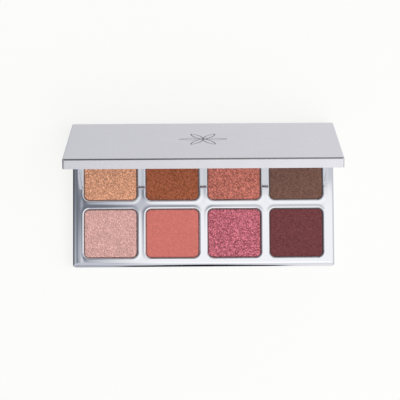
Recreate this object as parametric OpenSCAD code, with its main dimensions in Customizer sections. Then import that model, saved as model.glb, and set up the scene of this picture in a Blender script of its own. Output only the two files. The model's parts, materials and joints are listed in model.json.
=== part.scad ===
// Eyeshadow palette: a slim case with eight pans of pressed powder, a mirror lid on a
// hinge barrel along the back, and a magnetic catch.
// Origin: centre of the underside. +X runs along the width, -Y is the front, +Z is up.

/* [Case] */
// Width of the case
case_w = 122; // [120:0.5:126]
// Depth of the case, from the front edge to the back of the hinge barrel
case_d = 66.8; // [66:0.2:70]
// Height of the base, up to its deck
base_h = 9; // [8.8:0.1:11]
// Thickness of the lid
lid_t = 4.5; // [4.4:0.1:4.8]
// Gap between the deck and the closed lid
lid_gap = 0.1; // [0.05:0.05:0.2]
// Thickness of the moulded walls
wall = 1.3; // [1.1:0.1:1.4]
// Radius of the case corners, seen from above
corner_r = 1; // [0.6:0.1:2]
// Radius that rolls over the outer edge of the deck
deck_edge_r = 2.2; // [1:0.1:2.3]
// Radius along the base's lower edges
foot_edge_r = 0.8; // [0.3:0.1:1.2]
// Radius along the lid's outer edges
lid_edge_r = 0.6; // [0.3:0.1:1]

/* [Pans] */
// Pans in a row
columns = 4; // [4:1:4]
// Rows of pans
rows = 2; // [2:1:2]
// Width of a powder cake
powder_w = 24.3; // [23:0.1:24.5]
// Depth of a powder cake
powder_d = 22.1; // [20:0.1:22.3]
// Corner radius of a powder cake
powder_r = 2.2; // [1.5:0.1:3]
// Distance between two columns, centre to centre
pitch_x = 28.85; // [28.6:0.05:29]
// Distance between two rows, centre to centre
pitch_y = 26.8; // [26.6:0.05:27]
// Width of the deck in front of the front row's powder
front_strip = 4.45; // [4.2:0.05:4.7]
// Height of a pan
pan_h = 3.95; // [3:0.05:4]

/* [Lid] */
// How far the lid stands open
open_angle = 69.5; // [0:0.5:135]
// Depth of the mirror below the lid's rim
mirror_inset = 0.6; // [0.5:0.05:1.2]
// Thickness of the mirror glass
mirror_t = 1.2; // [0.8:0.1:1.3]
// Radius of the flower engraved on the lid
flower_r = 10.9; // [6:0.1:14]
// Width of an engraved line
line_w = 0.4; // [0.2:0.05:0.8]

/* [Hinge] */
// Width of a hinge lug on the base
lug_w = 6; // [4:0.5:8]
// Distance from the middle of the case to the middle of a lug
lug_x = 44; // [30:0.5:48]
// Radius of a hinge pin
pin_r = 0.9; // [0.6:0.05:1.2]
// Height of the base's back wall, below the barrel
back_wall_h = 5.5; // [5:0.1:5.6]

/* [Hidden] */
$fn = 64;

far = 200;              // longer than the case, for cuts that go right through
glue_t = 0.15;          // every glue layer
slip = 0.05;            // room round a piece that drops into another

// Hinge: the pin lies in the plane of the deck, one barrel radius from the back
barrel_r = lid_t + lid_gap;
hinge_y = case_d / 2 - barrel_r;
hinge_z = base_h;
groove_r = barrel_r + 0.3;
lug_r = barrel_r - 1.5;
lug_socket_r = lug_r + 0.3;
lug_side_gap = 0.3;
stop_angle = 36;        // where the lid's back begins above a lug
pin_press = 0.02;       // radial room of the pin in the lid
pin_running = 0.06;     // radial room of the pin in a lug
pin_inset = 0.4;        // how deep the pin's end lies in the lid's side
pin_reach = 3.2;        // how far the pin goes past the lug

// Base, from the bottom up
split_h = 6.5;          // joint between tray and pan frame
deck_t = 1.2;
back_y = hinge_y - groove_r - wall;   // back end of the cavities
label_t = 0.12;
label_size = [64, 24];
rib_t = 1.2;

// Pans and their wells
pan_wall = 0.2;
pan_w = powder_w + 2 * pan_wall;
pan_d = powder_d + 2 * pan_wall;
pan_r = powder_r + pan_wall;
pan_room = 0.15;
pan_shift = [-0.08, -0.04];   // pans lean to the left and front of their wells
well_wall = 1;
pan_top = base_h - 0.45;
pan_floor = pan_top - pan_h;
well_floor = pan_floor - glue_t;
well_floor_t = 0.9;
powder_top = pan_top + 0.05;
front_row_y = -case_d / 2 + front_strip + powder_d / 2;
glue_spot_r = 6;

// Lid, closed, from its rim up
rim_z = base_h + lid_gap;
lid_top = rim_z + lid_t;
plate_t = 1.2;
mirror_z = rim_z + mirror_inset;
carrier_z = mirror_z + mirror_t + glue_t;
tape_margin = 3;        // border of the mirror that the tape leaves free
engraving_depth = 0.2;

// Magnets: bars along the sides, close to the front corners
base_magnet = [1.9, 10, 1.6];
lid_magnet = [1.9, 10, 0.6];
magnet_x = case_w / 2 - wall - base_magnet[0] / 2 - 0.65;
magnet_y = -case_d / 2 + wall + 1.1 + base_magnet[1] / 2;

silver = [0.80, 0.81, 0.84];
satin = [0.79, 0.78, 0.81];
tinplate = [0.62, 0.62, 0.64];
steel = [0.55, 0.55, 0.57];
front_shades = [[0.84, 0.64, 0.62], [0.81, 0.45, 0.43], [0.77, 0.36, 0.42], [0.46, 0.24, 0.26]];
back_shades = [[0.78, 0.57, 0.46], [0.60, 0.34, 0.23], [0.71, 0.41, 0.35], [0.48, 0.35, 0.30]];

function column_x(i) = (i - (columns + 1) / 2) * pitch_x;
function row_y(row) = front_row_y + row * pitch_y;

// Flat outline with rounded corners
module rounded_outline(w, d, r) {
    square([w - 2 * r, d], center = true);
    square([w, d - 2 * r], center = true);
    for (sx = [-1, 1], sy = [-1, 1])
        translate([sx * (w / 2 - r), sy * (d / 2 - r)])
            circle(r);
}

module rounded_plate(w, d, r, low, high) {
    translate([0, 0, low])
        linear_extrude(high - low)
            rounded_outline(w, d, r);
}

// Upright section: straight sides from low to high, with rounded lower and upper corners
module rolled_section(w, low, high, foot_r, top_r) {
    translate([-w / 2 + foot_r, low])
        square([w - 2 * foot_r, (high - low) / 2]);
    translate([-w / 2 + top_r, (low + high) / 2])
        square([w - 2 * top_r, (high - low) / 2]);
    translate([-w / 2, low + foot_r])
        square([w, high - low - foot_r - top_r]);
    for (side = [-1, 1]) {
        if (foot_r > 0)
            translate([side * (w / 2 - foot_r), low + foot_r])
                circle(foot_r);
        translate([side * (w / 2 - top_r), high - top_r])
            circle(top_r);
    }
}

// Block with the case's outline, rolled along its lower and upper edges
module rolled_block(low, high, foot_r, top_r) {
    intersection() {
        rounded_plate(case_w, case_d, corner_r, low, high);
        translate([0, far / 2, 0])
            rotate([90, 0, 0])
                linear_extrude(far)
                    rolled_section(case_w, low, high, foot_r, top_r);
        translate([-far / 2, 0, 0])
            rotate([90, 0, 90])
                linear_extrude(far)
                    rolled_section(case_d, low, high, foot_r, top_r);
    }
}

// Cylinder along X on the hinge axis
module on_hinge(r, from, to) {
    translate([from, hinge_y, hinge_z])
        rotate([0, 90, 0])
            cylinder(r = r, h = to - from);
}

// Section in the Y-Z plane, given from the hinge axis, carried along X
module hinge_section(points, from, to) {
    translate([from, hinge_y, hinge_z])
        rotate([90, 0, 90])
            linear_extrude(to - from)
                polygon(points);
}

// Outer form of the base, with the groove that the hinge barrel turns in
module base_form() {
    difference() {
        rolled_block(0, base_h, foot_edge_r, deck_edge_r);
        on_hinge(groove_r, -far / 2, far / 2);
        translate([-far / 2, hinge_y, back_wall_h])
            cube([far, far, far]);
    }
}

// Room inside the base, from one height to another
module base_room(low, high, back) {
    front = -case_d / 2 + wall;
    translate([-case_w / 2 + wall, front, low])
        cube([case_w - 2 * wall, back - front, high - low]);
}

// A lug stands on the front side of the groove, so the lid's back can pass behind it
module hinge_lug() {
    foot = groove_r - 0.7;
    from = lug_x - lug_w / 2;
    to = lug_x + lug_w / 2;
    difference() {
        union() {
            on_hinge(lug_r, from, to);
            hinge_section([[-lug_r, 0], [-foot, -2.6], [-foot, -5.2], [-0.9, -5.2], [-0.9, -2]],
                from, to);
        }
        on_hinge(pin_r + pin_running, from - 1, to + 1);
    }
}

module base_tray() {
    groove_floor = hinge_z - groove_r;
    color(silver) {
        difference() {
            intersection() {
                base_form();
                translate([-far / 2, -far / 2, 0])
                    cube([far, far, split_h]);
            }
            base_room(wall, far, back_y);
            base_room(wall, groove_floor - wall, case_d / 2 - wall);
            rounded_plate(label_size[0], label_size[1], 2, -1, label_t);
        }
        for (row = [0 : rows - 1])
            translate([-case_w / 2 + wall / 2, row_y(row) - rib_t / 2, wall / 2])
                cube([case_w - wall, rib_t, well_floor - well_floor_t - wall / 2]);
        for (side = [0, 1])
            mirror([side, 0, 0])
                hinge_lug();
    }
}

// Places its children at every pan
module at_pans() {
    for (row = [0 : rows - 1], i = [1 : columns])
        translate([column_x(i), row_y(row), 0])
            children();
}

module pan_frame() {
    opening_w = pan_w + 2 * pan_room;
    opening_d = pan_d + 2 * pan_room;
    opening_r = pan_r + pan_room;
    color(silver)
        difference() {
            union() {
                difference() {
                    intersection() {
                        base_form();
                        translate([-far / 2, -far / 2, split_h])
                            cube([far, far, far]);
                    }
                    base_room(0, base_h - deck_t, back_y);
                }
                at_pans()
                    rounded_plate(opening_w + 2 * well_wall, opening_d + 2 * well_wall,
                        opening_r + well_wall, well_floor - well_floor_t, base_h - deck_t / 2);
            }
            at_pans()
                rounded_plate(opening_w, opening_d, opening_r, well_floor, far);
        }
}

module pan_glue() {
    color("ivory")
        at_pans()
            translate([0, 0, well_floor])
                cylinder(r = glue_spot_r, h = glue_t);
}

module pan(row, i) {
    color(tinplate)
        translate([column_x(i), row_y(row)] + pan_shift)
            difference() {
                rounded_plate(pan_w, pan_d, pan_r, pan_floor, pan_top);
                rounded_plate(powder_w, powder_d, powder_r, pan_floor + pan_wall, far);
            }
}

module powder(row, i, shade) {
    color(shade)
        translate([column_x(i), row_y(row)] + pan_shift)
            rounded_plate(powder_w, powder_d, powder_r, pan_floor + pan_wall, powder_top);
}

// Two bar magnets whose lower faces lie at the given height
module magnet_pair(magnet, low, room) {
    size = magnet + [room, room, room];
    for (side = [-1, 1])
        translate([side * magnet_x - size[0] / 2, magnet_y - size[1] / 2, low])
            cube(size);
}

module base_magnets() {
    color(steel)
        magnet_pair(base_magnet, base_h - deck_t - base_magnet[2], 0);
}

module underside_label() {
    color("white")
        rounded_plate(label_size[0] - 2 * slip, label_size[1] - 2 * slip, 2 - slip, 0, label_t);
}

// Turns its children, drawn closed, to where the open lid stands
module opened() {
    translate([0, hinge_y, hinge_z])
        rotate([-open_angle, 0, 0])
            translate([0, -hinge_y, -hinge_z])
                children();
}

// Block inside the lid, with the given margins from its sides and front
module lid_block(side, front, back, low, high) {
    translate([-case_w / 2 + side, -case_d / 2 + front, low])
        cube([case_w - 2 * side, back + case_d / 2 - front, high - low]);
}

// What a lug needs free in the lid: its own round, and the way of its foot
module lug_socket() {
    from = lug_x - lug_w / 2 - lug_side_gap;
    to = lug_x + lug_w / 2 + lug_side_gap;
    reach = 8;
    on_hinge(lug_socket_r, from, to);
    hinge_section([[0, 0], [-reach, 0], [-reach, -reach], [reach, -reach], [reach, 0],
        [reach * cos(stop_angle), reach * sin(stop_angle)]], from, to);
}

// Barrel along the lid's back, its end edges rounded like the lid's
module barrel() {
    translate([0, hinge_y, hinge_z])
        rotate([0, 90, 0])
            rotate_extrude()
                intersection() {
                    rotate(90)
                        translate([0, -far])
                            rolled_section(case_w, far - barrel_r, far + barrel_r, lid_edge_r, lid_edge_r);
                    translate([0, -far])
                        square(2 * far);
                }
}

// Six petals, drawn with circles through the middle
module flower() {
    translate([0, 0, lid_top - engraving_depth])
        linear_extrude(1)
            intersection() {
                circle(flower_r);
                for (turn = [0 : 60 : 300])
                    rotate(turn)
                        translate([flower_r, 0])
                            difference() {
                                circle(flower_r + line_w / 2);
                                circle(flower_r - line_w / 2);
                            }
            }
}

module lid_shell() {
    bore_end = lug_x - lug_w / 2 - pin_reach - 0.2;
    color(satin)
        opened()
            difference() {
                union() {
                    intersection() {
                        rolled_block(rim_z, lid_top, 0, lid_edge_r);
                        translate([-far / 2, -far, 0])
                            cube([far, far + hinge_y, far]);
                    }
                    barrel();
                }
                lid_block(wall, wall, back_y, 0, lid_top - plate_t);
                flower();
                for (side = [0, 1])
                    mirror([side, 0, 0]) {
                        lug_socket();
                        on_hinge(pin_r + pin_press, bore_end, far);
                    }
            }
}

// Flat tray behind the mirror, which holds the magnets against the lid
module mirror_carrier() {
    color(silver)
        opened()
            difference() {
                lid_block(wall + slip, wall + slip, back_y - slip, carrier_z, lid_top - plate_t);
                magnet_pair(lid_magnet, lid_top - plate_t - lid_magnet[2], slip);
            }
}

module mirror_glass() {
    color([0.90, 0.92, 0.94])
        opened()
            lid_block(wall + slip, wall + slip, back_y - slip, mirror_z, mirror_z + mirror_t);
}

module mirror_adhesive() {
    color("ivory")
        opened()
            lid_block(wall + tape_margin, wall + tape_margin, back_y - tape_margin,
                mirror_z + mirror_t, carrier_z);
}

module lid_magnets() {
    color(steel)
        opened()
            magnet_pair(lid_magnet, lid_top - plate_t - lid_magnet[2], 0);
}

// Pin on the right, pushed in from the lid's side
module hinge_pin() {
    color(steel)
        on_hinge(pin_r, lug_x - lug_w / 2 - pin_reach, case_w / 2 - pin_inset);
}

base_tray();
pan_frame();
pan_glue();
base_magnets();
underside_label();
for (i = [1 : columns]) {
    pan(0, i);
    pan(1, i);
    powder(0, i, front_shades[i - 1]);
    powder(1, i, back_shades[i - 1]);
}
lid_shell();
mirror_carrier();
mirror_glass();
mirror_adhesive();
lid_magnets();
mirror([1, 0, 0]) hinge_pin();  // hinge_pin_left
hinge_pin();  // hinge_pin_right
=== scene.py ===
# Eyeshadow palette: a slim silver case with eight pressed powders and a mirror lid.
import json
import math
import bmesh
import bpy
import numpy as np
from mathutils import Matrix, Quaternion, Vector


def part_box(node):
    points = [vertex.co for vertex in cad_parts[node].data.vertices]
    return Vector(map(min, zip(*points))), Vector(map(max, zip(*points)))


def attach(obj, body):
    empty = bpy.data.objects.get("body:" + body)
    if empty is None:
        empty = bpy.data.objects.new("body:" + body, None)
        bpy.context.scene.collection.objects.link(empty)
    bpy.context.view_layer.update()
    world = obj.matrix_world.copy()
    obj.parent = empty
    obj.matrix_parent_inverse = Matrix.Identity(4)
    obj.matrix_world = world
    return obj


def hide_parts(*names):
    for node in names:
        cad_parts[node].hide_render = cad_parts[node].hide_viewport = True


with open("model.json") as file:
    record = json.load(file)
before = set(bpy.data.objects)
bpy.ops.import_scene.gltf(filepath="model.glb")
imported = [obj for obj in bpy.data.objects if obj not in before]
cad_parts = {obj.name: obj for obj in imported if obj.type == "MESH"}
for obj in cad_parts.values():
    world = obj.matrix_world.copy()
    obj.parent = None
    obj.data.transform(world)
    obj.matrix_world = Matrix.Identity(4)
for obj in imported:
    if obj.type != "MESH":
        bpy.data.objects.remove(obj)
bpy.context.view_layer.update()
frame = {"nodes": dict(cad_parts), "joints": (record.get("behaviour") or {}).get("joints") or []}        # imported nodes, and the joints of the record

scene = bpy.context.scene
scene.view_settings.view_transform = "Standard"
mm = 0.001


# ---------------------------------------------------------------------------------------
# Tray: the lower shell of the base, moulded in plastic and metallised silver. Everything
# else sits in it or on it, and two lugs stand up from its back for the hinge.
# ---------------------------------------------------------------------------------------
class Wire:
    """A socket in a node tree. Arithmetic with numbers and other wires adds Math nodes, and
    node() adds any other node."""

    def __init__(self, tree, socket=None):
        self.tree = tree
        self.socket = socket

    def node(self, kind, settings=None, inputs=None, out=0):
        """Adds a node, with its settings first and then the values or links of its sockets.
        Returns its output of the given number."""
        made = self.tree.nodes.new(kind)
        for name, value in (settings or {}).items():
            setattr(made, name, value)
        for name, value in (inputs or {}).items():
            if isinstance(value, Wire):
                self.tree.links.new(value.socket, made.inputs[name])
            else:
                made.inputs[name].default_value = value
        return Wire(self.tree, made.outputs[out])

    def maths(self, operation, first, second=0.0):
        """A Math node that works on first and second."""
        return self.node("ShaderNodeMath", {"operation": operation}, {0: first, 1: second})

    def __add__(self, other):
        return self.maths("ADD", self, other)

    def __sub__(self, other):
        return self.maths("SUBTRACT", self, other)

    def __rsub__(self, other):
        return self.maths("SUBTRACT", other, self)

    def __mul__(self, other):
        return self.maths("MULTIPLY", self, other)

    __radd__ = __add__
    __rmul__ = __mul__

    def at_least(self, low):
        """The greater of this value and low."""
        return self.maths("MAXIMUM", self, low)

    def clamp(self, low, high):
        """This value, kept between low and high."""
        return self.maths("MINIMUM", self.at_least(low), high)

    def smooth(self, low, high):
        """0 below low and 1 above high, with a soft step between."""
        return self.node("ShaderNodeMapRange", {"interpolation_type": "SMOOTHSTEP"},
                         {"Value": self, "From Min": low, "From Max": high})

    def blend(self, first, second):
        """Colour that goes from first to second as this value goes from 0 to 1."""
        return self.node("ShaderNodeMix", {"data_type": "RGBA"},
                         {0: self, 6: first, 7: second}, out=2)

    def noise(self, scale, detail=2, roughness=0.5):
        """Cloudy noise from 0 to 1 over this position, with scale cells to the metre."""
        return self.node("ShaderNodeTexNoise", inputs={"Vector": self, "Scale": scale,
                                                       "Detail": detail, "Roughness": roughness})

    def feed(self, socket):
        """Links this value to a socket of a shader."""
        self.tree.links.new(self.socket, socket)


def material(name):
    """A new material with its Principled shader, and a Wire on its tree to start from."""
    made = bpy.data.materials.new(name)
    made.use_nodes = True
    tree = made.node_tree
    return made, tree.nodes["Principled BSDF"], Wire(tree)


def silver(name, tint, roughness, ripple):
    """Metallised plastic: the gloss wanders between 0.75 and 1.25 of the roughness, and the
    mould leaves broad faint waves of the height ripple."""
    made, shader, start = material(name)
    place = start.node("ShaderNodeTexCoord", out=3)
    shader.inputs["Metallic"].default_value = 1
    shader.inputs["Base Color"].default_value = tint
    haze = place.noise(90, detail=4)
    (haze * (roughness * 0.5) + roughness * 0.75).feed(shader.inputs["Roughness"])
    wave = place.noise(45, detail=1)
    start.node("ShaderNodeBump", inputs={"Height": wave, "Strength": 1,
                                         "Distance": ripple}).feed(shader.inputs["Normal"])
    return made


def refinish(node, finish):
    """Gives a carried-over part its material."""
    part = frame["nodes"][node]
    part.data.materials.clear()
    part.data.materials.append(finish)


refinish("base_tray", silver("tray_silver", (0.90, 0.915, 0.95, 1), 0.12, 0.02 * mm))


# ---------------------------------------------------------------------------------------
# Glue and magnets of the base: a spot of cream glue holds each pan in its well. Two nickel
# bar magnets lie along the sides, near the front corners, and catch the lid.
# ---------------------------------------------------------------------------------------
def colour(red, green, blue):
    """Linear colour of a value on the 0 to 255 display scale, by the standard curve: linear
    near black, and a power of 2.4 above."""
    share = np.array([red, green, blue]) / 255
    linear = np.where(share <= 0.04045, share / 12.92, ((share + 0.055) / 1.055) ** 2.4)
    return (*linear.tolist(), 1)


def plain(name, base, roughness, metallic=0.0):
    """An even finish with a fine grain, which takes the colour down to 0.92 of base and the
    roughness from 0.08 below its value to 0.07 above."""
    made, shader, start = material(name)
    grain = start.node("ShaderNodeTexCoord", out=3).noise(700, detail=3)
    shader.inputs["Metallic"].default_value = metallic
    dark = [c * 0.92 for c in base[:3]] + [1]
    grain.blend(dark, base).feed(shader.inputs["Base Color"])
    (grain * 0.15 + (roughness - 0.08)).feed(shader.inputs["Roughness"])
    return made


nickel = plain("nickel", (0.62, 0.61, 0.59, 1), 0.3, metallic=1)
refinish("base_magnets", nickel)
refinish("pan_glue", plain("glue", colour(226, 218, 196), 0.4))


# ---------------------------------------------------------------------------------------
# Silver deck: one metallised plastic moulding with eight windows. Each window has a soft
# raised lip that dips into a shallow valley, and the outer edge rolls over on three sides.
# It drops on the tray, and its back edge follows the groove of the hinge barrel.
# ---------------------------------------------------------------------------------------
polished = silver("polished_silver", (0.935, 0.945, 0.975, 1), 0.045, 0.005 * mm)


def quads(rows, columns, closed=False):
    """Faces of a grid numbered row by row. They face along (row direction) x (column
    direction). closed joins the last column to the first."""
    r = np.arange(rows - 1)[:, None]
    c = np.arange(columns if closed else columns - 1)[None, :]
    after = (c + 1) % columns
    here, below = r * columns, (r + 1) * columns
    return np.stack([here + c, below + c, below + after, here + after], axis=-1).reshape(-1, 4)


def piece(name, grids, finish, caps=(), sharp=40):
    """One object from several grids of points. grids holds (points, closed) pairs, and caps
    holds loops of points that are filled flat. Points that coincide are merged, and edges
    that turn by more than sharp degrees stay crisp."""
    points, faces, count = [], [], 0
    for grid, closed in grids:
        rows, columns = grid.shape[:2]
        points.append(grid.reshape(-1, 3))
        faces += (quads(rows, columns, closed) + count).tolist()
        count += rows * columns
    for loop in caps:
        points.append(loop)
        faces.append(list(range(count, count + len(loop))))
        count += len(loop)
    mesh = bpy.data.meshes.new(name)
    mesh.from_pydata(np.concatenate(points), [], faces)
    work = bmesh.new()
    work.from_mesh(mesh)
    bmesh.ops.remove_doubles(work, verts=work.verts, dist=0.002 * mm)
    bmesh.ops.dissolve_degenerate(work, edges=work.edges, dist=0.001 * mm)
    work.to_mesh(mesh)
    work.free()
    mesh.shade_smooth()
    mesh.set_sharp_from_angle(angle=math.radians(sharp))
    made = bpy.data.objects.new(name, mesh)
    made.data.materials.append(finish)
    scene.collection.objects.link(made)
    return made


def rounded_outline(half_w, half_d, radius, arc_steps=8, side_steps=14):
    """Rounded rectangle about the origin, anticlockwise. It starts in the middle of the arc
    at +X +Y, and each of its four sides runs from the middle of one arc to the next.
    Returns the points and their outward normals."""
    points, normals = [], []
    for side in range(4):
        turn = side * math.pi / 2
        run = half_w if side % 2 == 0 else half_d
        reach = half_d if side % 2 == 0 else half_w
        first = np.linspace(math.pi / 4, math.pi / 2, arc_steps + 1)
        last = np.linspace(math.pi / 2, 3 * math.pi / 4, arc_steps + 1)[:-1]
        along = np.linspace(run - radius, radius - run, side_steps + 1)[1:-1]
        angle = np.concatenate([first, np.full(len(along), math.pi / 2), last])
        centre = np.concatenate([np.full(len(first), run - radius), along,
                                 np.full(len(last), radius - run)])
        x = centre + radius * np.cos(angle)
        y = reach - radius + radius * np.sin(angle)
        c, s = math.cos(turn), math.sin(turn)
        points.append(np.stack([c * x - s * y, s * x + c * y], axis=-1))
        normals.append(np.stack([np.cos(angle + turn), np.sin(angle + turn)], axis=-1))
    return np.concatenate(points), np.concatenate(normals)


def box_distance(x, y, half_w, half_d, radius):
    """Distance from a rounded rectangle's outline: the distance from its inner rectangle,
    less the corner radius."""
    dx = np.maximum(np.abs(x) - half_w + radius, 0)
    dy = np.maximum(np.abs(y) - half_d + radius, 0)
    return np.hypot(dx, dy) - radius


# The windows: the pans lean in them, and the glue spots mark their true centres.
columns = range(1, 5)
pan_room = 0.15 * mm
pans = {(row, i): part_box(f"pan_{row}_{i}") for row in ("front", "back") for i in columns}
pan_centre = {key: (low + high) / 2 for key, (low, high) in pans.items()}
middle_of_pans = sum(pan_centre.values(), Vector()) / len(pans)
glue_low, glue_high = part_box("pan_glue")
lean = middle_of_pans - (glue_low + glue_high) / 2
windows = {key: (centre - lean).to_2d() for key, centre in pan_centre.items()}
pan_size = pans["front", 1][1] - pans["front", 1][0]
window_w = pan_size[0] / 2 + pan_room
window_d = pan_size[1] / 2 + pan_room
window_r = 2.55 * mm
wall_depths = (1.6 * mm, 1.1 * mm, 0.7 * mm)    # rows of a window's wall below the deck
lip_round = 0.5 * mm
lip_width = 0.9 * mm
lip_reach = 1.7 * mm        # the rows lie close together up to this far from a window
valley = 0.013 * mm

# The case: outer edge, seam with the tray, and the hinge groove.
deck_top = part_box("pan_frame")[1][2]
case_low, case_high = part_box("base_tray")
case_half_w = case_high[0]
case_front = case_low[1]
edge_roll = 2.2 * mm
roll_steps = 14
plan_corner = 1.0 * mm
seam_z = 6.5 * mm
seam_bevel = 0.12 * mm
roll_end = 0.05 * mm        # a row this far under the roll keeps the side flat
hinge = next(joint for joint in frame["joints"] if joint["name"] == "lid_hinge")
hinge_at = Vector(hinge["pos_m"])
barrel_r = case_high[1] - hinge_at[1]
groove_r = barrel_r + 0.3 * mm
back_round = 0.35 * mm

# The deck's height: level with the lips inside, and rising to the side edges.
deck_level = deck_top - 0.027 * mm
side_strip = windows["front", 4][0] + window_w + lip_round
front_lift = 0.006 * mm
corner_run = 5 * mm         # from the front corners, the rise to front_lift takes this long
back_lift_from = -4 * mm
back_lift_run = 12 * mm     # and the rise to the full height this long


def deck_height(x, y):
    """Top of the deck: level with the lips, and lower by the valley's depth times
    1 - exp(-(distance from the lip / its width) squared). Past the outer windows the valley
    fades out, and the deck rises to the side edges: to its full height at the back, by
    front_lift beside the front row, and not at all at the front corners."""
    nearest = np.full(x.shape, 1.0)
    for centre in windows.values():
        away_from = box_distance(x - centre[0], y - centre[1], window_w, window_d, window_r)
        nearest = np.minimum(nearest, away_from)
    beyond = np.maximum(nearest - lip_round, 0)
    outer = np.clip((np.abs(x) - side_strip) / (case_half_w - edge_roll - side_strip), 0, 1)
    hollow = valley * (1 - np.exp(-(beyond / lip_width) ** 2)) * (1 - outer) ** 4
    share = np.clip((y - back_lift_from) / back_lift_run, 0, 1)
    lift = front_lift * np.clip((y - case_front - edge_roll) / corner_run, 0, 1)
    lift = lift + (deck_top - deck_level - lift) * share ** 2 * (3 - 2 * share)
    return deck_level - hollow + lift * outer


def back_edge(z):
    """How far back the deck reaches at a height: a small rounding, then the hinge groove."""
    groove = hinge_at[1] - np.sqrt(groove_r ** 2 - (hinge_at[2] - z) ** 2)
    lower = deck_top - back_round
    at_lower = hinge_at[1] - math.sqrt(groove_r ** 2 - (hinge_at[2] - lower) ** 2)
    rise = np.clip(z - lower, 0, back_round)
    rounding = at_lower - back_round + np.sqrt(back_round ** 2 - rise ** 2)
    return np.where(z > lower, rounding, groove)


def lattice(plan, z):
    """Points from plan positions and heights."""
    return np.concatenate([plan, z[..., None]], axis=-1)


def deck_cell(centre, low, high):
    """The deck round one window: down its wall, over the lip by a quarter circle, and out to
    the cell's rectangle, onto which each side of the window is spread evenly. Returns the
    grid of points and the four sides of its outer edge."""
    middle = np.array([centre[0], centre[1]])
    outline, normal = rounded_outline(window_w, window_d, window_r)
    per_side = len(outline) // 4
    x_ends = (high[0], low[0], low[0], high[0])
    y_ends = (high[1], high[1], low[1], low[1])
    corners = np.stack([x_ends, y_ends], axis=-1)
    edge = []
    for side in range(4):
        ends = outline[side * per_side], outline[(side + 1) * per_side % len(outline)]
        run = side % 2
        span = outline[side * per_side:(side + 1) * per_side, run]
        share = (span - ends[0][run]) / (ends[1][run] - ends[0][run])
        edge.append(corners[side] + share[:, None] * (corners[(side + 1) % 4] - corners[side]))
    rows = [middle + outline] * len(wall_depths)
    heights = [np.full(len(outline), deck_top - depth) for depth in wall_depths]
    for angle in np.linspace(0, math.pi / 2, 9):
        step = lip_round * (1 - math.cos(angle))
        rows.append(middle + outline + normal * step)
        heights.append(np.full(len(outline), deck_level - lip_round * (1 - math.sin(angle))))
    for step in np.linspace(lip_round, lip_reach, 8)[1:]:
        rows.append(middle + outline + normal * step)
        heights.append(deck_height(*rows[-1].T))
    last, rim = rows[-1], np.concatenate(edge)
    for share in np.linspace(0, 1, 6)[1:]:
        rows.append(last + share * (rim - last))
        heights.append(deck_height(*rows[-1].T))
    return lattice(np.array(rows), np.array(heights)), edge


def roll_lines(edges):
    """The roll's two lines in plan, from the back left round the front to the back right:
    where it leaves the deck, and edge_roll further out. At each front corner a single inner
    point faces a small arc."""
    left = np.concatenate([edges["back", 1][1], edges["front", 1][1]])
    front = np.concatenate([edges["front", i][2] for i in columns])
    right = np.concatenate([edges["front", 4][3], edges["back", 4][3], edges["back", 4][0][:1]])
    arc = np.linspace(0, math.pi / 2, 9)
    inner, outer = [left], [left - [edge_roll, 0]]
    for side, after, away in ((-1, front, [0, -edge_roll]), (1, right, [edge_roll, 0])):
        corner = np.array([side * (case_half_w - edge_roll), case_front + edge_roll])
        centre = np.array([side * (case_half_w - plan_corner), case_front + plan_corner])
        turn = (math.pi if side < 0 else 1.5 * math.pi) + arc
        bend = centre + plan_corner * np.stack([np.cos(turn), np.sin(turn)], axis=-1)
        ends = [corner + [side * edge_roll, 0], corner - [0, edge_roll]][::-side]
        inner += [np.repeat(corner[None], len(bend) + 2, axis=0), after]
        outer += [np.concatenate([ends[:1], bend, ends[1:]]), after + away]
    return np.concatenate(inner), np.concatenate(outer)


def edge_heights(top):
    """Heights down the outer edge, one column for each height it starts from: down by
    1 - cos(a) over the roll, then straight to a small bevel at the seam."""
    angle = np.linspace(0, math.pi / 2, roll_steps)[:, None]
    foot = deck_top - edge_roll
    straight = np.array([[foot - roll_end], [seam_z + seam_bevel], [seam_z]])
    rolled = top - (top - foot) * (1 - np.cos(angle))
    return np.concatenate([rolled, np.repeat(straight, len(top), axis=1)])


def make_deck():
    """Eight cells, one round each window, then the outer edge on three sides, which goes out
    by sin(a) over the roll, and the back edge above the groove."""
    xs = [windows["front", i][0] for i in columns]
    splits_x = [-case_half_w + edge_roll, *[(a + b) / 2 for a, b in zip(xs, xs[1:])],
                case_half_w - edge_roll]
    middle_y = (windows["front", 1][1] + windows["back", 1][1]) / 2
    back_y = float(back_edge(np.array(deck_top)))
    splits_y = {"front": (case_front + edge_roll, middle_y), "back": (middle_y, back_y)}
    grids, edges = [], {}
    for (row, i), centre in windows.items():
        low = np.array([splits_x[i - 1], splits_y[row][0]])
        high = np.array([splits_x[i], splits_y[row][1]])
        grid, edges[row, i] = deck_cell(centre, low, high)
        grids.append((grid, True))
    inner, outer = roll_lines(edges)
    top = deck_height(*inner.T)
    heights = edge_heights(top)
    share = np.append(np.sin(np.linspace(0, math.pi / 2, roll_steps)), [1, 1, 1])[:, None]
    tuck = np.append(np.zeros(len(share) - 1), seam_bevel)[:, None, None]
    outward = outer - inner
    outward /= np.linalg.norm(outward, axis=1, keepdims=True)
    plan = inner + (outer - inner) * share[..., None] - outward * tuck
    reach = back_edge(heights + deck_top - top)
    for end in (0, -1):
        plan[:, end, 1] = reach[:, end]
        inside = np.stack([np.full(len(share), inner[end, 0]), reach[:, end]], axis=-1)
        ends = np.stack([inside, plan[:, end]] if end == 0 else [plan[:, end], inside], axis=1)
        grids.append((lattice(ends, heights[:, [end, end]]), False))
    grids.append((lattice(plan, heights), False))
    back = np.concatenate([*[edges["back", i][0] for i in reversed(columns)],
                           edges["back", 1][1][:1]])
    level = deck_height(*back.T)
    z = edge_heights(level)
    x = np.broadcast_to(back[:, 0], z.shape)
    grids.append((np.stack([x, back_edge(z + deck_top - level), z], axis=-1), False))
    return piece("silver_deck", grids, polished, sharp=60)


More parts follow.
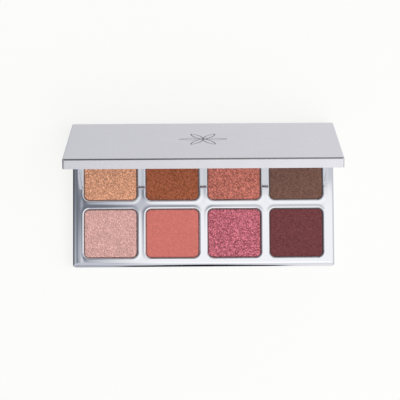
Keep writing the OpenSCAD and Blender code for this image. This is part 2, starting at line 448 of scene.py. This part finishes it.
deck = make_deck()
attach(deck, "base")
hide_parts("pan_frame")


# ---------------------------------------------------------------------------------------
# Pans: shallow tinplate trays, pressed from thin sheet, with a rounded rim. They drop into
# the wells of the deck and stand on a spot of glue.
# ---------------------------------------------------------------------------------------
def stack(half_w, half_d, radius, profile):
    """Rounded rectangles one above another. profile holds (inset, z) pairs, and an inset
    past the corner radius keeps a small corner."""
    rings = []
    for inset, z in profile:
        corner = max(radius - inset, 0.1 * mm)
        outline, _ = rounded_outline(half_w - inset, half_d - inset, corner,
                                     arc_steps=5, side_steps=8)
        rings.append(lattice(outline, np.full(len(outline), z)))
    return np.array(rings)


def tinplate():
    """Metal darkened to a dull grey, which paints shade into the gap round each cake, with a fine
    grain in its gloss.
    """
    made, shader, start = material("tinplate")
    shader.inputs["Metallic"].default_value = 1
    # The dark base colour is painted shade for the gap between each cake and its window.
    shader.inputs["Base Color"].default_value = (0.28, 0.27, 0.27, 1)
    grain = start.node("ShaderNodeTexCoord", out=3).noise(900)
    (grain * 0.15 + 0.25).feed(shader.inputs["Roughness"])
    return made


tin = tinplate()
sheet_t = 0.2 * mm
flange = 0.12 * mm
pan_corner = 2.4 * mm
pan_bend = 0.4 * mm
pan_low, pan_high = pans["front", 1][0][2], pans["front", 1][1][2]
under = [(1 * mm, pan_low), (pan_bend, pan_low), (0, pan_low + pan_bend)]
rim = [(0, pan_high - 0.3 * mm), (-flange, pan_high - 0.16 * mm), (-flange, pan_high - 0.06 * mm),
       (-0.08 * mm, pan_high), (0.02 * mm, pan_high - 0.03 * mm), (0.12 * mm, pan_high - 0.11 * mm)]
bowl = [(sheet_t, pan_high - 0.22 * mm), (sheet_t, pan_low + sheet_t)]
for (row, i), centre in pan_centre.items():
    shift = np.array([centre[0], centre[1], 0])
    rings = stack(pan_size[0] / 2, pan_size[1] / 2, pan_corner, under + rim + bowl) + shift
    pan = piece(f"tin_{row}_{i}", [(rings, True)], tin, caps=[rings[0][::-1], rings[-1]])
    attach(pan, "base")
    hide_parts(f"pan_{row}_{i}")


# ---------------------------------------------------------------------------------------
# Powders: eight cakes pressed into the pans, slightly crowned with a soft edge. Four hold
# pearl that glitters in fine grains, and four are matte.
# ---------------------------------------------------------------------------------------
facet = 0.55                # how far the normals of the pearl flakes spread

# Shade on the display scale, how metallic the pearl is, and how much the grains differ.
shades = {
    ("front", 1): ((217, 167, 159), 0.6, 0.16), ("front", 2): ((197, 109, 99), 0, 0.13),
    ("front", 3): ((252, 101, 115), 0.9, 0.82), ("front", 4): ((102, 46, 48), 0, 0.26),
    ("back", 1): ((218, 154, 120), 0.7, 0.43), ("back", 2): ((146, 75, 42), 0, 0.42),
    ("back", 3): ((188, 105, 89), 0.7, 0.58), ("back", 4): ((104, 70, 58), 0, 0.32),
}


def pressed_powder(name, shade, pearl, spread):
    """Powder: fine grains and faint clouds take the shade down and up by spread. With pearl,
    each cell of a Voronoi pattern is a flake with its own gloss, and its normal leans by up
    to half of facet."""
    made, shader, start = material(name)
    place = start.node("ShaderNodeTexCoord", out=3)
    flakes = start.node("ShaderNodeTexVoronoi", inputs={"Vector": place, "Scale": 2300}, out=1)
    flake = start.node("ShaderNodeSeparateColor", inputs={"Color": flakes})
    grain = place.noise(2600, detail=3, roughness=0.7)
    cloud = place.noise(160, detail=3)
    mix = (flake - 0.5) * 0.9 + (grain - 0.5) * 1.5 + (cloud - 0.5) * 0.2 + 0.5
    dark = [c * (1 - spread) for c in shade[:3]] + [1]
    light = [min(c * (1 + spread) + spread * 0.06, 1) for c in shade[:3]] + [1]
    mix.clamp(0, 1).blend(dark, light).feed(shader.inputs["Base Color"])
    shader.inputs["Sheen Weight"].default_value = 0.15
    shader.inputs["Sheen Roughness"].default_value = 0.6
    shader.inputs["Specular IOR Level"].default_value = 0.25
    bump = start.node("ShaderNodeBump",
                      inputs={"Height": grain, "Strength": 0.5, "Distance": 0.03 * mm})
    if not pearl:
        shader.inputs["Roughness"].default_value = 0.85
        bump.feed(shader.inputs["Normal"])
        return made
    (flake.smooth(0.1, 0.7) * pearl).feed(shader.inputs["Metallic"])
    (0.42 - flake * 0.15).feed(shader.inputs["Roughness"])
    leaning = start.node("ShaderNodeVectorMath", {"operation": "MULTIPLY_ADD"},
                         {0: flakes, 1: (facet, facet, facet), 2: (-facet / 2,) * 3})
    turned = start.node("ShaderNodeVectorMath", {"operation": "ADD"}, {0: bump, 1: leaning})
    start.node("ShaderNodeVectorMath", {"operation": "NORMALIZE"},
               {0: turned}).feed(shader.inputs["Normal"])
    return made


powder_at, powder_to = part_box("powder_front_1")
powder_size = powder_to - powder_at
powder_low, powder_high = powder_at[2], powder_to[2]
powder_corner = 2.2 * mm
crown = 0.12 * mm
soft_edge = 0.35 * mm


def make_powder(row, i):
    """A cake: straight sides, an edge rounded by soft_edge, and a crown that falls off
    with the square of the distance from the middle."""
    edge_z = powder_high - crown
    bend = [(soft_edge * (1 - math.cos(a)), edge_z - soft_edge * (1 - math.sin(a)))
            for a in np.linspace(0, math.pi / 2, 7)]
    rings = stack(powder_size[0] / 2, powder_size[1] / 2, powder_corner,
                  [(0, powder_low), *bend])
    last = rings[-1]
    top = [np.concatenate([last[:, :2] * s,
                           np.full((len(last), 1), edge_z + crown * (1 - s ** 2))], axis=1)
           for s in np.linspace(1, 0, 12)[1:]]
    grid = np.concatenate([rings, top])
    grid += np.array([pan_centre[row, i][0], pan_centre[row, i][1], 0])
    shade, pearl, spread = shades[row, i]
    name = f"powder_{row}_{i}"
    finish = pressed_powder(name, colour(*shade), pearl, spread)
    cake = piece(f"cake_{row}_{i}", [(grid, True)], finish, caps=[grid[0][::-1]])
    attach(cake, "base")
    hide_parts(name)


for row, i in pan_centre:
    make_powder(row, i)


# ---------------------------------------------------------------------------------------
# Label: a sheet of white paper, blank, glued into its recess under the tray.
# ---------------------------------------------------------------------------------------
refinish("underside_label", plain("label_paper", colour(238, 238, 235), 0.5))


# ---------------------------------------------------------------------------------------
# Lid: a moulded shell with a satin metallised finish. A flower is engraved in the middle of
# its top, and its free edge is rounded. Its barrel turns in the groove behind the deck.
# ---------------------------------------------------------------------------------------
satin = silver("satin_silver", (0.845, 0.83, 0.87, 1), 0.29, 0.006 * mm)
# Near-black metal in the engraved lines: painted shade in the grooves.
engraved = plain("engraved_line_shade", (0.10, 0.10, 0.11, 1), 0.4, metallic=1)
# Dark silver for the free edge and the inside of the front wall: a painted dark reflection on the
# edge and painted shade on the wall.
edge_painted_shade = silver("lid_edge_painted_shade", (0.28, 0.28, 0.29, 1), 0.24, 0.006 * mm)
open_angle = math.radians(-hinge["range_deg"][0])
lid_top = hinge_at[2] + barrel_r
lid_edge_r = 0.6 * mm
lid_wall = 3 * mm           # the front wall's inner face lies less than this from the front
line_depth = 0.2 * mm
flower_r = 12 * mm
crisp_angle = math.radians(25)


def read(items, name, width, kind=float):
    """One value of every item in a mesh list, as rows of an array."""
    values = np.empty(len(items) * width, kind)
    items.foreach_get(name, values)
    return values.reshape(-1, width)


def shell_copy(node, finishes):
    """A copy of a carried-over shell with its points merged. Faces square to the shut lid
    keep their own normal, and so do the roundings where they meet such a face."""
    mesh = frame["nodes"][node].data.copy()
    work = bmesh.new()
    work.from_mesh(mesh)
    bmesh.ops.remove_doubles(work, verts=work.verts, dist=0.001 * mm)
    work.to_mesh(mesh)
    work.free()
    mesh.name = node
    mesh.shade_smooth()
    mesh.set_sharp_from_angle(angle=crisp_angle)
    mesh.materials.clear()
    for finish in finishes:
        mesh.materials.append(finish)
    facing = read(mesh.polygons, "normal", 3)
    owner = np.repeat(np.arange(len(facing)), read(mesh.polygons, "loop_total", 1, int)[:, 0])
    vertex = read(mesh.loops, "vertex_index", 1, int)[:, 0]
    normals = read(mesh.corner_normals, "vector", 3)
    c, s = math.cos(open_angle), math.sin(open_angle)
    for axis in ((1, 0, 0), (0, c, -s), (0, s, c)):
        for square in (np.array(axis), -np.array(axis)):
            flat = facing @ square > 0.99999
            touched = np.zeros(len(mesh.vertices), bool)
            touched[vertex[flat[owner]]] = True
            near = (facing @ square > math.cos(crisp_angle))[owner]
            normals[touched[vertex] & near] = square
    mesh.normals_split_custom_set(normals.tolist())
    made = bpy.data.objects.new(node + "_moulded", mesh)
    scene.collection.objects.link(made)
    return made


def make_lid():
    """The shell, with darker finishes: painted shade in the engraved lines, and a painted dark
    reflection on the rounded free edge. Turned shut about the hinge, the engraved faces lie
    just under the top, within the line's depth. The edge's faces slant to the front within the
    edge radius of the top, and the inside of the front wall, which takes the edge's finish as
    painted shade, faces back."""
    lid = shell_copy("lid_shell", [satin, engraved, edge_painted_shade])
    faces = lid.data.polygons
    arm = read(faces, "center", 3) - np.array(hinge_at)
    c, s = math.cos(open_angle), math.sin(open_angle)
    shut_y = arm[:, 1] * c - arm[:, 2] * s + hinge_at[1]
    shut_z = arm[:, 1] * s + arm[:, 2] * c + hinge_at[2]
    sunk = (shut_z < lid_top - 0.1 * line_depth) & (shut_z > lid_top - 1.2 * line_depth)
    in_line = sunk & (np.hypot(arm[:, 0], shut_y) < flower_r)
    facing = read(faces, "normal", 3)
    forward = facing[:, 2] * s - facing[:, 1] * c
    free_edge = (forward > 0.02) & (forward < 0.999) & (shut_z > lid_top - lid_edge_r)
    inside = (forward < -0.9) & (shut_y < case_front + lid_wall)
    choice = np.where(in_line, 1, np.where(free_edge | inside, 2, 0))
    faces.foreach_set("material_index", choice.astype(np.int32))
    return lid


lid = make_lid()
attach(lid, "lid")
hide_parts("lid_shell")


# ---------------------------------------------------------------------------------------
# Mirror: silvered glass on double-sided tape, in a flat silver carrier that fills the lid.
# The carrier also holds the lid's two nickel magnets against the shell.
# ---------------------------------------------------------------------------------------
def mirror_finish():
    """Silvered glass: almost perfectly smooth, with a faint haze in patches."""
    made, shader, start = material("mirror")
    shader.inputs["Metallic"].default_value = 1
    shader.inputs["Base Color"].default_value = (0.86, 0.88, 0.89, 1)
    haze = start.node("ShaderNodeTexCoord", out=3).noise(60, detail=5)
    (haze.smooth(0.55, 0.9) * 0.03 + 0.005).feed(shader.inputs["Roughness"])
    return made


refinish("lid_magnets", nickel)
refinish("mirror_carrier", polished)
refinish("mirror_adhesive", plain("tape", colour(236, 232, 220), 0.6))
refinish("mirror_glass", mirror_finish())


# ---------------------------------------------------------------------------------------
# Hinge pins: two short steel pins, pushed in from the lid's sides. Each is tight in the lid
# and turns in a lug of the tray.
# ---------------------------------------------------------------------------------------
pin_steel = plain("pin_steel", (0.56, 0.56, 0.57, 1), 0.28, metallic=1)
refinish("hinge_pin_left", pin_steel)
refinish("hinge_pin_right", pin_steel)


# ---------------------------------------------------------------------------------------
# Studio: a pale floor, one big soft lamp above, and light walls on the right and in front.
# The left is dim, which gives the silver its darker side, and a light band stands behind.
# ---------------------------------------------------------------------------------------
floor_mesh = bpy.data.meshes.new("floor")
half = 6.0
floor_mesh.from_pydata([(-half, -half, 0), (half, -half, 0), (half, half, 0), (-half, half, 0)],
                       [], [(0, 1, 2, 3)])
floor = bpy.data.objects.new("floor", floor_mesh)
scene.collection.objects.link(floor)
floor_finish, floor_shader, _ = material("floor")
floor_shader.inputs["Base Color"].default_value = (0.16, 0.16, 0.158, 1)
floor_shader.inputs["Emission Color"].default_value = (0.80, 0.80, 0.785, 1)
floor_shader.inputs["Emission Strength"].default_value = 1
floor_shader.inputs["Roughness"].default_value = 0.9
floor_shader.inputs["Specular IOR Level"].default_value = 0
floor_mesh.materials.append(floor_finish)
floor.visible_glossy = False


def overhead_light(x, y, z):
    """Light from above, which the deck picks up: 1.47 + 10 x - 8.5 y, so it rises to the
    right and to the front, with a small shoulder and a dent near the middle. It never goes
    below a dim level, and a light band lies low at the back."""
    slope = x * 10 - y.at_least(0.035) * 8.5 + 1.47 + ((x + 0.05) * 6).clamp(-0.3, 0)
    shoulder = (0.062 - y).clamp(0, 0.014) * 6
    dent = (y - 0.068).clamp(0, 0.012) * x.smooth(-0.04, 0) * 28
    dim = (1 - y.smooth(0.09, 0.16)) * 0.10 + 0.08
    band = y.smooth(0.2, 0.5) * (1 - z.smooth(0.6, 0.85)) * (x * 0.2 + 0.62)
    return ((slope + shoulder).clamp(0.08, 0.94) - dent).at_least(dim).at_least(band)


def front_light(x, z):
    """Light wall in front, which the open lid's lip and mirror pick up: 0.74, a little less on
    the left, and more with height, most of all on the right. A narrow strip left of the
    middle is dimmer, and so is a patch beside it, above and below the height of 0.7."""
    high = (z - 0.70) * 2.4
    above = high.clamp(0, 0.4)
    below = (0.7 - z).clamp(0, 0.4)
    strip = x.smooth(-0.075, -0.045) * (1 - x.smooth(-0.055, -0.02))
    patch = x.smooth(-0.16, -0.08) * (-0.035 - x).clamp(0, 0.04)
    wall = (x * 1.2).clamp(-0.12, 0.03) + 0.74 + above * (x * 3 + 1).clamp(0.4, 1.9)
    wall = (wall - patch * above * 25) * (1 - strip * (high * 1.2 + 0.12).clamp(0, 0.5))
    return wall - patch * below * 18


def left_light(x, y, z):
    """Dim wall on the left, lighter further out, higher up and towards the front."""
    wall = ((-0.3 - x).clamp(0, 0.45) * 0.4 + 0.21) * z.smooth(-0.6, 0.65)
    return wall * (0 - x).smooth(0.06, 0.12) * (1.9 - y * 18).clamp(0.55, 1.25)


def low_light(x, y):
    """Light from the sides and below: it rises in two steps from left to right and falls off
    at the far right, with more at the front left, for the rolled edges. Behind it is bright,
    and the top of the open lid picks that up."""
    level = x.smooth(-0.6, -0.08) * 0.36 + x.smooth(-0.06, 0.08) * 0.38
    level = level - x.smooth(0.1, 0.8) * 0.2 + 0.065
    level = level + (0 - y).smooth(0.1, 0.4) * (0 - x).smooth(0.1, 0.5) * 0.35
    behind = y.smooth(0.15, 0.5)
    return level * (1 - behind) + behind * (x * 0.45 + 0.72)


def front_shade(x, y, z):
    """1 inside the dark wedge low in front, which widens downwards, and 0 outside it. The
    front edge picks it up as a thin dark line."""
    half_width = (0.3 - z).clamp(0, 0.6) * 0.075
    past_wedge = x.maths("ABSOLUTE", x - 0.002) - half_width
    inside = 1 - past_wedge.smooth(-0.004, 0.012)
    return inside * (0 - y).smooth(0, 0.2) * (0.3 - z).smooth(0, 0.1)


def light_studio():
    """World light by direction x, y, z: the low light below the horizon, and above it the
    overhead light, which gives way to the front wall. Dim light is cooler than bright light.
    The camera itself sees an even pale backdrop."""
    world = bpy.data.worlds.new("studio")
    scene.world = world
    world.use_nodes = True
    tree = world.node_tree
    tree.nodes.clear()
    start = Wire(tree)
    split = tree.nodes.new("ShaderNodeSeparateXYZ")
    start.node("ShaderNodeTexCoord").feed(split.inputs[0])
    x, y, z = (Wire(tree, split.outputs[i]) for i in range(3))
    in_front = (0 - y).smooth(0.2, 0.5)
    upper = overhead_light(x, y, z) * (1 - in_front) + front_light(x, z) * in_front
    risen = z.smooth(-0.05, 0.25)
    light = (low_light(x, y) * (1 - risen) + upper * risen).at_least(left_light(x, y, z))
    light = light * (1 - front_shade(x, y, z) * 0.97)
    cool = light.smooth(0.1, 0.9).blend((0.90, 0.96, 1.13, 1), (1, 1, 1.01, 1))
    tinted = start.node("ShaderNodeVectorMath", {"operation": "SCALE"}, {0: cool, "Scale": light})
    seen = start.node("ShaderNodeLightPath")
    strength = seen.blend(tinted, (0.965, 0.965, 0.945, 1))
    background = start.node("ShaderNodeBackground", inputs={"Color": strength})
    output = tree.nodes.new("ShaderNodeOutputWorld")
    background.feed(output.inputs["Surface"])


light_studio()
lamp = bpy.data.objects.new("soft_lamp", bpy.data.lights.new("soft_lamp", "AREA"))
lamp.data.shape = "DISK"
lamp.data.size = 1.6
lamp.data.energy = 20
lamp.location = (0.55, -0.35, 1.5)
lamp.rotation_mode = "QUATERNION"
lamp.rotation_quaternion = (-lamp.location).to_track_quat("-Z", "Y")
lamp.visible_glossy = False
scene.collection.objects.link(lamp)

# The camera looks almost straight down on the open palette, from three quarters of a metre.
looks_at = Vector((-1.54 * mm, -2.5 * mm, deck_top))
elevation = math.radians(86.03)
away = Vector((0, -math.cos(elevation), math.sin(elevation)))
distance = 0.7733
roll = Quaternion((0, 0, 1), math.radians(-0.37))
camera = bpy.data.objects.new("camera", bpy.data.cameras.new("camera"))
camera.data.lens = 149.1
camera.location = looks_at + away * distance
camera.rotation_mode = "QUATERNION"
camera.rotation_quaternion = (-away).to_track_quat("-Z", "Y") @ roll
scene.collection.objects.link(camera)
scene.camera = camera
